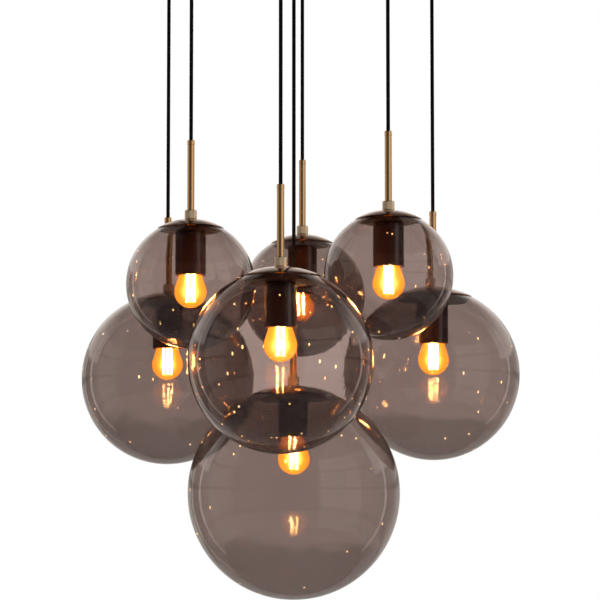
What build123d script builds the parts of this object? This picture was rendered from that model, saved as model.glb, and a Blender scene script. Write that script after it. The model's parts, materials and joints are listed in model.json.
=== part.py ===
"""Cluster pendant: seven smoke-glass globes of three sizes on cords from one round canopy.

Millimetres, +Z up. The origin is the middle of the ceiling fixing, on the ceiling, so every
piece hangs below z = 0. Three small globes hang highest on an inner ring, three medium ones
lower on an outer ring, and one large globe lowest, on the axis. -Y is the front.
"""

from build123d import *
import os
from itertools import combinations
from math import acos, cos, radians, sin, sqrt, tan

os.makedirs("parts", exist_ok=True)

# ---------------------------------------------------------------- layout
SMALL_RING = 160.0  # radius of the circle on which the small globes hang
MEDIUM_RING = 225.0  # radius of the circle on which the medium globes hang
GLOBE_GAP = 7.0  # glass to glass, between the two globes that hang closest
LARGE_DROP = 804.0  # from the ceiling to the centre of the large globe

# Each pendant: its size, its ring, its bearing in degrees from +X, and how high the centre of
# its globe hangs above the centre of the large one, as the cords were set by hand. Rings and
# heights grow together where larger globes need more room (see spread).
PENDANTS = {
    "small_left": ("small", SMALL_RING, 210, 290.0),
    "small_back": ("small", SMALL_RING, 90, 295.0),
    "small_right": ("small", SMALL_RING, -30, 300.0),
    "medium_front": ("medium", MEDIUM_RING, -90, 172.0),
    "medium_left": ("medium", MEDIUM_RING, 150, 170.0),
    "medium_right": ("medium", MEDIUM_RING, 30, 175.0),
    "large": ("large", 0.0, -90, 0.0),
}

# ---------------------------------------------------------------- sizes of globe, cap and cup
GLOBE_RADIUS = {"small": 90.0, "medium": 125.0, "large": 150.0}
GLASS = {"small": 2.5, "medium": 2.8, "large": 3.0}  # wall of the blown globe
CAP_RADIUS = {"small": 46.0, "medium": 56.0, "large": 60.5}  # round edge of the domed cap
GALLERY_SKIRT = {"small": 0.6, "medium": 3.6, "large": 4.6}  # gallery below its lugs
HOLDER_DEPTH = {"small": 77.5, "medium": 80.8, "large": 78.1}  # globe top to lampholder mouth

# ---------------------------------------------------------------- canopy and ceiling bracket
CANOPY_MARGIN = 25.0  # from the outer ring of cords to the canopy's edge
CANOPY_HEIGHT = 32.0
CANOPY_WALL = 1.5
CANOPY_EDGE = 3.0  # rolled lower edge
STRAP_WIDTH = 40.0
STRAP_THICKNESS = 2.5
STRAP_GAP = 0.2  # from the corners of the strap's ends to the canopy's wall
TAB_HEIGHT = 18.0  # turned-down end of the strap
FIXING_SPACING = 200.0  # between the two ceiling screws
FIXING_HOLE_RADIUS = 3.0
SUPPLY_HOLE_RADIUS = 10.0  # where the house cable comes through the strap
TERMINAL_LENGTH = 46.0
TERMINAL_WIDTH = 20.0
TERMINAL_HEIGHT = 17.0
TERMINAL_OFFSET = 50.0  # from the middle of the strap
SCREW_RADIUS = 2.0
SCREW_HEAD_RADIUS = 4.0
SCREW_HEAD_HEIGHT = 2.2
SCREW_PAST_TAB = 2.0

# ---------------------------------------------------------------- cord, grip, stem and nut
CORD_RADIUS = 2.65
GRIP_RADIUS = 8.0
GRIP_HEIGHT = 14.0
GRIP_CHAMFER = 1.0
GRIP_SHANK_RADIUS = 5.0
GRIP_SHANK_PAST_NUT = 2.0
LOCKNUT_RADIUS = 8.5
LOCKNUT_HEIGHT = 4.0
PIVOT_DEPTH = 4.0  # how far inside a mouth the cord starts to bend
WIRE_WAY_RADIUS = 2.0  # the two cores, past the place where the cord is held
SWING_ROOM = 24.0  # degrees that the grip's flared mouth leaves each way
TILT_ROOM = 7.0  # degrees that the collar's mouth leaves each way
STEM_RADIUS = 5.0
STEM_BORE_RADIUS = 3.4
STEM_TOP = 113.0  # from the top of the globe to the top of the collar
STEM_IN_HOLDER = 8.0
COLLAR_RADIUS = 5.3
COLLAR_HEIGHT = 7.0
COLLAR_ROUND = 1.0
NUT_RADIUS = 8.5
NUT_HEIGHT = 13.0
NUT_CHAMFER = 0.6
KNURLS = 30
KNURL_RADIUS = 0.45

# ---------------------------------------------------------------- cap, gallery and bayonet
CAP_THICKNESS = 1.2
CAP_LAND = 9.0  # radius of the flat on top of the cap, under the nut
CAP_OVERLAP = 5.5  # how far the cap reaches over the edge of the glass
GALLERY_WALL = 1.2
GALLERY_CLEARANCE = 0.7  # round the gallery in the mouth of the glass
LUGS = 3
LUG_WIDTH = 12.0
LUG_REACH = 2.4
NOTCH_CLEARANCE = 0.8
NOTCH_TURN = 40.0  # degrees from a lug to the notch that lets it pass

# ---------------------------------------------------------------- lampholder and bulb
HOLDER_RADIUS = 21.5
HOLDER_ROUND = 2.0
HOLDER_LIP = 2.0  # depth of the widened mouth
HOLDER_LIP_RADIUS = 17.5
BULB_RADIUS = 22.5
BULB_DROP = 1.0  # from the lampholder's mouth to the height of the ball's top
BULB_GLASS = 0.9
BULB_SHOULDER = 16.0  # degrees above the ball's middle where the neck leaves it
BULB_NECK_RADIUS = 16.4  # where the glass enters the lampholder
NECK_DROP = 0.3  # from the mouth down to where the glass starts
FILAMENTS = 4
FILAMENT_RADIUS = 0.9
FILAMENT_RING = 6.0  # radius of the circle on which they stand
FILAMENT_LENGTH = 38.0
FILAMENT_POST_RADIUS = 1.5
FILAMENT_SPIDER = 0.8  # thickness of the plate under the filaments
BASE_RADIUS = 13.2  # screw base
BASE_LENGTH = 23.0
CONTACT_RADIUS = 5.0
CONTACT_HEIGHT = 2.5
CONTACT_GAP = 0.2

# ---------------------------------------------------------------- fits
SEAT_GAP = 0.3  # between the glass and the metal round it
SLIP = 0.05  # a part that is screwed or pushed onto a round one
SCREW_FIT = 0.08  # the bulb's base in the lampholder



def place(ring, bearing):
    """Point in plan."""
    return ring * cos(radians(bearing)), ring * sin(radians(bearing))


def spread():
    """Factor on rings and heights at which the two closest globes are their gap apart."""
    factors = []
    for one, other in combinations(PENDANTS.values(), 2):
        (ax, ay), (bx, by) = place(*one[1:3]), place(*other[1:3])
        apart = sqrt((ax - bx) ** 2 + (ay - by) ** 2 + (one[3] - other[3]) ** 2)
        factors.append((GLOBE_RADIUS[one[0]] + GLOBE_RADIUS[other[0]] + GLOBE_GAP) / apart)
    return max(factors)


SPREAD = spread()
CANOPY_RADIUS = SPREAD * MEDIUM_RING + CANOPY_MARGIN
GRIP_MOUTH_Z = -CANOPY_HEIGHT - GRIP_HEIGHT
SWING_PIVOT_Z = GRIP_MOUTH_Z + PIVOT_DEPTH


def turned(*points):
    """A solid turned about Z from an outline of (radius, height) points."""
    outline = Polyline(*[(radius, 0, height) for radius, height in points], close=True)
    return revolve(make_face(outline), Axis.Z)


def save(name, solids):
    """One sub-part to its own file."""
    shape = solids[0] if len(solids) == 1 else Compound(children=list(solids))
    export_step(shape, f"parts/{name}.step")


# ================================================================ canopy
def canopy_cover():
    """Spun dish, open to the ceiling, with a hole for each cord grip and side screw."""
    dish = Pos(0, 0, -CANOPY_HEIGHT / 2) * Cylinder(CANOPY_RADIUS, CANOPY_HEIGHT)
    dish = fillet(dish.edges().group_by(Axis.Z)[0], CANOPY_EDGE)
    inner = CANOPY_RADIUS - CANOPY_WALL
    depth = CANOPY_HEIGHT - CANOPY_WALL
    hollow = Pos(0, 0, -depth / 2) * Cylinder(inner, depth)
    hollow = fillet(hollow.edges().group_by(Axis.Z)[0], CANOPY_EDGE - CANOPY_WALL)
    dish -= hollow
    for x, y in grip_places():
        dish -= Pos(x, y, -CANOPY_HEIGHT) * Cylinder(GRIP_SHANK_RADIUS + SLIP, 4 * CANOPY_WALL)
    side_hole = Rot(0, 90, 0) * Cylinder(SCREW_RADIUS + SEAT_GAP, 2 * CANOPY_RADIUS + 2)
    return dish - Pos(0, 0, screw_height()) * side_hole


def grip_places():
    """Where the cords leave the canopy."""
    return [place(SPREAD * ring, bearing) for _, ring, bearing, _ in PENDANTS.values()]


def tab_face():
    """Outer face of the strap's turned-down ends, whose corners clear the round wall."""
    wall = CANOPY_RADIUS - CANOPY_WALL - STRAP_GAP
    return sqrt(wall**2 - (STRAP_WIDTH / 2) ** 2)


def screw_height():
    return -STRAP_THICKNESS - TAB_HEIGHT / 2


def ceiling_bracket():
    """Steel strap screwed to the ceiling, with turned-down ends, and its terminal block."""
    outer = tab_face()
    strap = Pos(0, 0, -STRAP_THICKNESS / 2) * Box(2 * outer, STRAP_WIDTH, STRAP_THICKNESS)
    tab_height = STRAP_THICKNESS + TAB_HEIGHT
    for side in (-1, 1):
        tab_x = side * (outer - STRAP_THICKNESS / 2)
        strap += Pos(tab_x, 0, -tab_height / 2) * Box(STRAP_THICKNESS, STRAP_WIDTH, tab_height)
        strap -= Pos(side * FIXING_SPACING / 2, 0, 0) * Cylinder(
            FIXING_HOLE_RADIUS, 4 * STRAP_THICKNESS
        )
    strap -= Cylinder(SUPPLY_HOLE_RADIUS, 4 * STRAP_THICKNESS)
    tapped = Rot(0, 90, 0) * Cylinder(SCREW_RADIUS + SLIP, 2 * CANOPY_RADIUS)
    strap -= Pos(0, 0, screw_height()) * tapped
    block_z = -STRAP_THICKNESS - TERMINAL_HEIGHT / 2
    block = Pos(TERMINAL_OFFSET, 0, block_z) * Box(
        TERMINAL_LENGTH, TERMINAL_WIDTH, TERMINAL_HEIGHT
    )
    return [strap, block]


def canopy_screws():
    """Two screws through the canopy's side into the strap's ends."""
    shank_end = tab_face() - STRAP_THICKNESS - SCREW_PAST_TAB
    head_end = CANOPY_RADIUS + SCREW_HEAD_HEIGHT
    screw = turned(
        (0, shank_end),
        (SCREW_RADIUS, shank_end),
        (SCREW_RADIUS, CANOPY_RADIUS),
        (SCREW_HEAD_RADIUS, CANOPY_RADIUS),
        (SCREW_HEAD_RADIUS, head_end - SCREW_HEAD_HEIGHT / 2),
        (SCREW_HEAD_RADIUS / 2, head_end),
        (0, head_end),
    )
    along_x = Pos(0, 0, screw_height()) * (Rot(0, 90, 0) * screw)
    return [along_x, Rot(0, 0, 180) * along_x]


def socketed(pivot, mouth, room, *rest):
    """Turned piece with a ball seat for the cord's end, flared as far as the cord leans."""
    seat = CORD_RADIUS + SLIP
    inward = 1 if pivot > mouth else -1
    lean = radians(room)
    start = acos(WIRE_WAY_RADIUS / seat)
    dome = [
        Vector(seat * cos(a), 0, pivot + inward * seat * sin(a))
        for a in (start, (start + lean) / 2, lean)
    ]
    flare = seat / cos(lean) + abs(pivot - mouth) * tan(lean)
    outline = Polyline(dome[2], (flare, 0, mouth), *[(r, 0, z) for r, z in rest], dome[0])
    return revolve(make_face([ThreePointArc(*dome), outline]), Axis.Z)


def cord_grips():
    """Seven grips under the canopy, each with its locknut inside. The mouth is flared."""
    inside = -CANOPY_HEIGHT + CANOPY_WALL
    shank_top = inside + LOCKNUT_HEIGHT + GRIP_SHANK_PAST_NUT
    grip = socketed(
        SWING_PIVOT_Z,
        GRIP_MOUTH_Z,
        SWING_ROOM,
        (GRIP_RADIUS - GRIP_CHAMFER, GRIP_MOUTH_Z),
        (GRIP_RADIUS, GRIP_MOUTH_Z + GRIP_CHAMFER),
        (GRIP_RADIUS, -CANOPY_HEIGHT),
        (GRIP_SHANK_RADIUS, -CANOPY_HEIGHT),
        (GRIP_SHANK_RADIUS, shank_top),
        (WIRE_WAY_RADIUS, shank_top),
    )
    locknut = Pos(0, 0, inside + LOCKNUT_HEIGHT / 2) * (
        Cylinder(LOCKNUT_RADIUS, LOCKNUT_HEIGHT)
        - Cylinder(GRIP_SHANK_RADIUS + SLIP, 2 * LOCKNUT_HEIGHT)
    )
    return [Pos(x, y, 0) * piece for x, y in grip_places() for piece in (grip, locknut)]


# ================================================================ one pendant
# Each piece is made with the top of the globe's outer surface at the origin.
def mouth_radius(size):
    """Radius of the opening in the top of the glass, which the cap covers."""
    return CAP_RADIUS[size] - CAP_OVERLAP


def lug_top(size):
    """The lugs pass under the glass, a seat's gap below where it curves down to their tips."""
    tip = mouth_radius(size) + LUG_REACH
    inner = GLOBE_RADIUS[size] - GLASS[size]
    return sqrt(inner**2 - tip**2) - GLOBE_RADIUS[size] - SEAT_GAP


def gallery_floor(size):
    """Underside of the gallery, on which the lampholder bears."""
    return lug_top(size) - GALLERY_WALL - GALLERY_SKIRT[size]


def land_height(size):
    """The flat on top of the cap, on which the nut bears."""
    outer = GLOBE_RADIUS[size] + SEAT_GAP + CAP_THICKNESS
    return sqrt(outer**2 - CAP_LAND**2) - GLOBE_RADIUS[size]


def around(count, start=0.0):
    """Equal bearings, in degrees."""
    return [start + 360 / count * n for n in range(count)]


def on_ball(ball, radius, centre):
    """Point on the upper half of a ball, at a radius from its axis."""
    return Vector(radius, 0, centre + sqrt(ball**2 - radius**2))


def shell(outer, inner, low, high, centre):
    """Part of a hollow ball between two radii from its axis, its centre at that height."""
    half = (low + high) / 2
    rings = [[on_ball(ball, r, centre) for r in (low, half, high)] for ball in (outer, inner)]
    over, under = rings
    edges = [
        ThreePointArc(*over),
        Line(over[-1], under[-1]),
        ThreePointArc(*under[::-1]),
        Line(under[0], over[0]),
    ]
    return revolve(make_face(edges), Axis.Z)


def globe(size):
    """Blown globe, open at the top, with notches in its mouth for the gallery's lugs."""
    ball = GLOBE_RADIUS[size]
    inner = ball - GLASS[size]
    mouth = mouth_radius(size)
    outer_lip = on_ball(ball, mouth, -ball)
    inner_lip = on_ball(inner, mouth, -ball)
    edges = [
        ThreePointArc(outer_lip, Vector(ball, 0, -ball), Vector(0, 0, -2 * ball)),
        Line(Vector(0, 0, -2 * ball), Vector(0, 0, -ball - inner)),
        ThreePointArc(Vector(0, 0, -ball - inner), Vector(inner, 0, -ball), inner_lip),
        Line(inner_lip, outer_lip),
    ]
    glass = revolve(make_face(edges), Axis.Z)
    reach = mouth + LUG_REACH + NOTCH_CLEARANCE
    for bearing in around(LUGS, 90 - NOTCH_TURN):
        notch = Pos(reach / 2, 0, inner_lip.Z) * Box(
            reach, LUG_WIDTH + 2 * NOTCH_CLEARANCE, 8 * GLASS[size]
        )
        glass -= Rot(0, 0, bearing) * notch
    return glass


def cap(size):
    """Spun dome that follows the glass, with a flat for the nut and a hole for the stem."""
    ball = GLOBE_RADIUS[size]
    inner = ball + SEAT_GAP
    dome = shell(inner + CAP_THICKNESS, inner, STEM_RADIUS + SLIP, CAP_RADIUS[size], -ball)
    flat = land_height(size)
    return dome - Pos(0, 0, flat + CAP_THICKNESS) * Cylinder(CAP_LAND + 1, 2 * CAP_THICKNESS)


def gallery(size):
    """Pressed pan under the cap. Its three lugs carry the glass like a bayonet."""
    ball = GLOBE_RADIUS[size] + SEAT_GAP
    wall = mouth_radius(size) - GALLERY_CLEARANCE
    rim = sqrt(ball**2 - wall**2) - GLOBE_RADIUS[size]
    floor = gallery_floor(size)
    hole = STEM_RADIUS + SLIP
    pan = turned(
        (hole, floor),
        (wall - GALLERY_WALL, floor),
        (wall, floor + GALLERY_WALL),
        (wall, rim),
        (wall - GALLERY_WALL, rim),
        (wall - GALLERY_WALL, floor + GALLERY_WALL),
        (hole, floor + GALLERY_WALL),
    )
    tip = mouth_radius(size) + LUG_REACH
    root = wall - GALLERY_WALL / 2
    for bearing in around(LUGS, 90):
        lug = Pos((root + tip) / 2, 0, lug_top(size) - GALLERY_WALL / 2) * Box(
            tip - root, LUG_WIDTH, GALLERY_WALL
        )
        pan += Rot(0, 0, bearing) * lug
    return pan


def nut(size):
    """Knurled nut that clamps the cap to the gallery."""
    low = land_height(size)
    high = low + NUT_HEIGHT
    body = turned(
        (STEM_RADIUS + SLIP, low),
        (NUT_RADIUS - NUT_CHAMFER, low),
        (NUT_RADIUS, low + NUT_CHAMFER),
        (NUT_RADIUS, high - NUT_CHAMFER),
        (NUT_RADIUS - NUT_CHAMFER, high),
        (STEM_RADIUS + SLIP, high),
    )
    groove = Pos(NUT_RADIUS, 0, low + NUT_HEIGHT / 2) * Cylinder(KNURL_RADIUS, NUT_HEIGHT + 2)
    grooves = [Rot(0, 0, bearing) * groove for bearing in around(KNURLS)]
    return body - grooves


def stem(size):
    """Brass tube through nut, cap and gallery into the lampholder, and its screwed collar."""
    bottom = gallery_floor(size) - STEM_IN_HOLDER
    joint = STEM_TOP - COLLAR_HEIGHT
    tube = turned(
        (STEM_BORE_RADIUS, bottom),
        (STEM_RADIUS, bottom),
        (STEM_RADIUS, joint),
        (STEM_BORE_RADIUS, joint),
    )
    collar = socketed(
        STEM_TOP - PIVOT_DEPTH,
        STEM_TOP,
        TILT_ROOM,
        (COLLAR_RADIUS - COLLAR_ROUND, STEM_TOP),
        (COLLAR_RADIUS, STEM_TOP - COLLAR_ROUND),
        (COLLAR_RADIUS, joint),
        (WIRE_WAY_RADIUS, joint),
    )
    return [tube, collar]


def lampholder(size):
    """Black cup that holds the screw socket. The stem's end screws into its top."""
    top = gallery_floor(size)
    mouth = -HOLDER_DEPTH[size]
    bore = BASE_RADIUS + SCREW_FIT
    bore_top = mouth + base_top() + CONTACT_HEIGHT + CONTACT_GAP
    body = turned(
        (0, top),
        (HOLDER_RADIUS - HOLDER_ROUND, top),
        (HOLDER_RADIUS, top - HOLDER_ROUND),
        (HOLDER_RADIUS, mouth),
        (HOLDER_LIP_RADIUS, mouth),
        (bore, mouth + HOLDER_LIP),
        (bore, bore_top),
        (0, bore_top),
    )
    socket_depth = STEM_IN_HOLDER
    return body - Pos(0, 0, top - socket_depth / 2) * Cylinder(
        STEM_RADIUS + SLIP, socket_depth
    )


def base_top():
    """Top of the bulb's screw shell above the lampholder's mouth."""
    return BASE_LENGTH - NECK_DROP


def bulb(size):
    """Golf-ball bulb: blown envelope with a wide neck, screw base, and upright filaments."""
    mouth = -HOLDER_DEPTH[size]
    neck = mouth - NECK_DROP
    centre = mouth - BULB_DROP - BULB_RADIUS
    under = neck - BULB_GLASS
    collar = BASE_RADIUS - BULB_GLASS
    outside = envelope_side(BULB_RADIUS, BULB_NECK_RADIUS, centre, neck)
    inside = envelope_side(BULB_RADIUS - BULB_GLASS, BULB_NECK_RADIUS - BULB_GLASS, centre, under)
    ends = [
        Line(outside[1] @ 1, Vector(collar, 0, neck)),
        Line(Vector(collar, 0, neck), Vector(collar, 0, under)),
        Line(Vector(collar, 0, under), inside[1] @ 1),
        Line(inside[0] @ 0, outside[0] @ 0),
    ]
    envelope = revolve(make_face([*outside, *inside, *ends]), Axis.Z)
    top = mouth + base_top()
    base = turned(
        (0, neck),
        (BASE_RADIUS, neck),
        (BASE_RADIUS, top),
        (CONTACT_RADIUS, top),
        (CONTACT_RADIUS, top + CONTACT_HEIGHT),
        (0, top + CONTACT_HEIGHT),
    )
    low = neck - FILAMENT_LENGTH
    middle = (low + neck) / 2
    lights = Pos(0, 0, middle) * Cylinder(FILAMENT_POST_RADIUS, FILAMENT_LENGTH)
    lights += Pos(0, 0, low + FILAMENT_SPIDER / 2) * Cylinder(
        FILAMENT_RING + 2 * FILAMENT_RADIUS, FILAMENT_SPIDER
    )
    for bearing in around(FILAMENTS, 45):
        rod = Pos(FILAMENT_RING, 0, middle) * Cylinder(FILAMENT_RADIUS, FILAMENT_LENGTH)
        lights += Rot(0, 0, bearing) * rod
    return [envelope, base, lights]


def envelope_side(ball, rim, centre, neck):
    """Arc round a ball from its lowest point, and the line up its neck to a rim."""
    angle = radians(BULB_SHOULDER)
    side = Vector(ball, 0, centre)
    shoulder = Vector(ball * cos(angle), 0, centre + ball * sin(angle))
    arc = ThreePointArc(Vector(0, 0, centre - ball), side, shoulder)
    return [arc, Line(shoulder, Vector(rim, 0, neck))]


def cord(low, high):
    """Straight cord between the points where it bends, with rounded ends in their seats."""
    slant = CORD_RADIUS * cos(radians(45))
    edges = [
        ThreePointArc(
            Vector(0, 0, low - CORD_RADIUS), Vector(slant, 0, low - slant), Vector(CORD_RADIUS, 0, low)
        ),
        Line(Vector(CORD_RADIUS, 0, low), Vector(CORD_RADIUS, 0, high)),
        ThreePointArc(
            Vector(CORD_RADIUS, 0, high), Vector(slant, 0, high + slant), Vector(0, 0, high + CORD_RADIUS)
        ),
        Line(Vector(0, 0, high + CORD_RADIUS), Vector(0, 0, low - CORD_RADIUS)),
    ]
    return revolve(make_face(edges), Axis.Z)


# ================================================================ the assembly
save("canopy_cover", [canopy_cover()])
save("ceiling_bracket", ceiling_bracket())
save("canopy_screws", canopy_screws())
save("cord_grips", cord_grips())

for name, (size, ring, bearing, rise) in PENDANTS.items():
    x, y = place(SPREAD * ring, bearing)
    globe_top = SPREAD * rise + GLOBE_RADIUS[size] - LARGE_DROP
    here = Pos(x, y, globe_top) * Rot(0, 0, bearing)
    tilt_pivot = globe_top + STEM_TOP - PIVOT_DEPTH
    save(f"{name}_cord", [Pos(x, y, 0) * cord(tilt_pivot, SWING_PIVOT_Z)])
    save(f"{name}_stem", [here * piece for piece in stem(size)])
    save(f"{name}_nut", [here * nut(size)])
    save(f"{name}_cap", [here * cap(size)])
    save(f"{name}_gallery", [here * gallery(size)])
    save(f"{name}_globe", [here * globe(size)])
    save(f"{name}_lampholder", [here * lampholder(size)])
    save(f"{name}_bulb", [here * piece for piece in bulb(size)])
    free_length = SWING_PIVOT_Z - tilt_pivot
    print(f"{name}: globe top z {globe_top:.1f}, cord {free_length:.1f} long, straight")
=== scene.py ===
import bpy
import bmesh
import json
from math import acos, asin, atan2, cos, degrees, pi, radians, sin, sqrt, tan
from mathutils import Matrix, Vector


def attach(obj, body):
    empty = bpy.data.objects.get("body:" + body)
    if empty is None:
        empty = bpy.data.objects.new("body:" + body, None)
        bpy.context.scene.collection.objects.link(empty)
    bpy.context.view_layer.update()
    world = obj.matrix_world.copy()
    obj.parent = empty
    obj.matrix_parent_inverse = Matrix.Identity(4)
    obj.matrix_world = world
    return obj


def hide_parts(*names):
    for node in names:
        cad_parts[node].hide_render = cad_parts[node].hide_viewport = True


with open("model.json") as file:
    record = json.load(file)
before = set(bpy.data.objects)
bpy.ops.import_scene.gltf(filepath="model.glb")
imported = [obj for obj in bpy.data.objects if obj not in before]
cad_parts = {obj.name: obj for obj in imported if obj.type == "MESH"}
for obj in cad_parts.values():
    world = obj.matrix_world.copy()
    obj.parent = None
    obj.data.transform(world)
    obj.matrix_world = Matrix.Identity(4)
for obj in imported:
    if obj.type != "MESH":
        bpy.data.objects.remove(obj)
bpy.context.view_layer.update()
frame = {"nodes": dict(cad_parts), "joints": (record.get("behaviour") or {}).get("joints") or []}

# ---------------------------------------------------------------- where the photographer stood
# The lights hang plumb, so the bending points of each cord, which the frame's hinges give,
# say where its lamp is. The picture was taken from 3.9 m away, a little below the large globe.
PENDANTS = ("small_left", "small_back", "small_right", "medium_front", "medium_left",
            "medium_right", "large")
GLOBE_RADIUS = {"small": 0.090, "medium": 0.125, "large": 0.150}
COLLAR_BEND = 0.109  # from the top of a globe up to the point where its cord bends
hinge = {joint["name"]: Vector(joint["pos_m"]) for joint in frame["joints"] if "pos_m" in joint}
globe_top = {name: hinge[f"{name}_tilt"] - Vector((0, 0, COLLAR_BEND)) for name in PENDANTS}
size_of = {name: name.split("_")[0] for name in PENDANTS}
bearing_of = {name: atan2(top.y, top.x) for name, top in globe_top.items()}
bearing_of["large"] = -pi / 2

STAND_BEARING = radians(4.538)
STAND_DISTANCE = 3.901
STAND_BELOW_LARGE = 0.0860
LOOK_UP = radians(5.275)
LOOK_ASIDE = radians(-0.129)
LENS_MM = 165.23
SENSOR_MM = 36.0
SIGHT = 60.0

camera = bpy.data.objects.new("camera", bpy.data.cameras.new("camera"))
bpy.context.scene.collection.objects.link(camera)
camera.data.lens = LENS_MM
camera.data.sensor_width = SENSOR_MM
camera.data.clip_end = SIGHT
camera.location = (
    STAND_DISTANCE * sin(STAND_BEARING),
    -STAND_DISTANCE * cos(STAND_BEARING),
    globe_top["large"].z - GLOBE_RADIUS["large"] - STAND_BELOW_LARGE,
)
camera.rotation_euler = (pi / 2 + LOOK_UP, 0, STAND_BEARING + LOOK_ASIDE)
bpy.context.scene.camera = camera
bpy.context.scene.view_settings.view_transform = "Standard"

# ---------------------------------------------------------------- cords
# Round black textile-covered flex, 5.3 mm thick, straight because each carries its lamp.
# It runs from the ball seat in its grip down to the ball seat in the stem's collar.
CORD_DIAMETER = 0.0053
CORD_BLACK = (0.0015, 0.0014, 0.0014)
CORD_THREAD = (0.0035, 0.0032, 0.0032)
BRAID_LEAN = radians(35)
BRAID_PER_METRE = 320.0
BRAID_WANDER = 0.6
BRAID_RELIEF = 0.12
BRAID_DEPTH = 0.0003
GRAIN_SPAN = (0.3, 0.7)  # nearly all of the noise lies between these two
GRAIN_ROUGHNESS = 0.55


def node_group_grain():
    """Noise stretched along the axes of the piece: a value between two limits, and a height."""
    group = bpy.data.node_groups.new("surface_grain", "ShaderNodeTree")
    socket = group.interface.new_socket
    for name, kind, value in (
        ("Stretch", "NodeSocketVector", (40.0, 40.0, 40.0)),
        ("Detail", "NodeSocketFloat", 3.0),
        ("Low", "NodeSocketFloat", 0.2),
        ("High", "NodeSocketFloat", 0.4),
    ):
        socket(name, in_out="INPUT", socket_type=kind).default_value = value
    for name in ("Value", "Height"):
        socket(name, in_out="OUTPUT", socket_type="NodeSocketFloat")
    nodes, link = group.nodes, group.links.new
    given, result = nodes.new("NodeGroupInput"), nodes.new("NodeGroupOutput")
    place, stretch = nodes.new("ShaderNodeTexCoord"), nodes.new("ShaderNodeVectorMath")
    noise, limits = nodes.new("ShaderNodeTexNoise"), nodes.new("ShaderNodeMapRange")
    stretch.operation = "MULTIPLY"
    noise.inputs["Scale"].default_value = 1.0
    noise.inputs["Roughness"].default_value = GRAIN_ROUGHNESS
    limits.inputs["From Min"].default_value, limits.inputs["From Max"].default_value = GRAIN_SPAN
    link(place.outputs["Object"], stretch.inputs[0])
    link(given.outputs["Stretch"], stretch.inputs[1])
    link(stretch.outputs[0], noise.inputs["Vector"])
    link(given.outputs["Detail"], noise.inputs["Detail"])
    link(noise.outputs["Fac"], limits.inputs["Value"])
    link(given.outputs["Low"], limits.inputs["To Min"])
    link(given.outputs["High"], limits.inputs["To Max"])
    link(limits.outputs["Result"], result.inputs["Value"])
    link(noise.outputs["Fac"], result.inputs["Height"])
    return group


SURFACE_GRAIN = node_group_grain()


def finish_of(name, light, dark, stretch, rough, bump=0.0, depth=0.0002, detail=3.0, **plain):
    """Material whose colour, roughness and surface vary with one grain; plain sets sockets."""
    material = bpy.data.materials.new(name)
    material.use_nodes = True
    nodes, link = material.node_tree.nodes, material.node_tree.links.new
    shader = nodes["Principled BSDF"]
    for socket, value in plain.items():
        shader.inputs[socket.replace("_", " ")].default_value = value
    grain = nodes.new("ShaderNodeGroup")
    grain.node_tree = SURFACE_GRAIN
    grain.inputs["Stretch"].default_value = stretch
    grain.inputs["Detail"].default_value = detail
    grain.inputs["Low"].default_value, grain.inputs["High"].default_value = rough
    tint = nodes.new("ShaderNodeMix")
    tint.data_type = "RGBA"
    tint.inputs["A"].default_value = (*dark, 1.0)
    tint.inputs["B"].default_value = (*light, 1.0)
    link(grain.outputs["Height"], tint.inputs["Factor"])
    link(tint.outputs["Result"], shader.inputs["Base Color"])
    if rough[0] != rough[1]:
        link(grain.outputs["Value"], shader.inputs["Roughness"])
    else:
        shader.inputs["Roughness"].default_value = rough[0]
    if bump:
        relief = nodes.new("ShaderNodeBump")
        relief.inputs["Strength"].default_value = bump
        relief.inputs["Distance"].default_value = depth
        link(grain.outputs["Height"], relief.inputs["Height"])
        link(relief.outputs["Normal"], shader.inputs["Normal"])
    return material


def braid_over(material):
    """Adds crossed threads to a material's relief, as on a braided cover."""
    nodes, link = material.node_tree.nodes, material.node_tree.links.new
    shader = nodes["Principled BSDF"]
    place = nodes.new("ShaderNodeTexCoord")
    crossed = nodes.new("ShaderNodeMath")
    crossed.operation = "MULTIPLY"
    for index, lean in enumerate((BRAID_LEAN, -BRAID_LEAN)):
        turn, wave = nodes.new("ShaderNodeMapping"), nodes.new("ShaderNodeTexWave")
        turn.inputs["Rotation"].default_value = (lean, lean, 0)
        wave.bands_direction = "Z"
        wave.inputs["Scale"].default_value = BRAID_PER_METRE
        wave.inputs["Distortion"].default_value = BRAID_WANDER
        link(place.outputs["Object"], turn.inputs["Vector"])
        link(turn.outputs["Vector"], wave.inputs["Vector"])
        link(wave.outputs["Fac"], crossed.inputs[index])
    relief = nodes.new("ShaderNodeBump")
    relief.inputs["Strength"].default_value = BRAID_RELIEF
    relief.inputs["Distance"].default_value = BRAID_DEPTH
    link(crossed.outputs[0], relief.inputs["Height"])
    if shader.inputs["Normal"].is_linked:
        link(shader.inputs["Normal"].links[0].from_socket, relief.inputs["Normal"])
    link(relief.outputs["Normal"], shader.inputs["Normal"])


black_braid = finish_of(
    "black_braid", CORD_THREAD, CORD_BLACK, (900, 900, 900), (0.62, 0.78), 0.1,
    Specular_IOR_Level=0.06,
)
braid_over(black_braid)

for name in PENDANTS:
    high, low = hinge[f"{name}_swing"], hinge[f"{name}_tilt"]
    line = bpy.data.curves.new(f"{name}_cord_line", "CURVE")
    line.dimensions = "3D"
    run = line.splines.new("NURBS")
    heights = (high.z, (high.z + low.z) / 2, low.z)
    run.points.add(len(heights) - 1)
    for point, height in zip(run.points, heights):
        point.co = (high.x, high.y, height, 1.0)
    run.order_u = 3
    run.use_endpoint_u = True
    run.resolution_u = 24
    line.bevel_depth = CORD_DIAMETER / 2
    line.bevel_resolution = 8
    line.use_fill_caps = True
    line.materials.append(black_braid)
    flex = bpy.data.objects.new(f"{name}_flex", line)
    bpy.context.scene.collection.objects.link(flex)
    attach(flex, f"{name}_suspension")
    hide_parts(f"{name}_cord")

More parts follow.
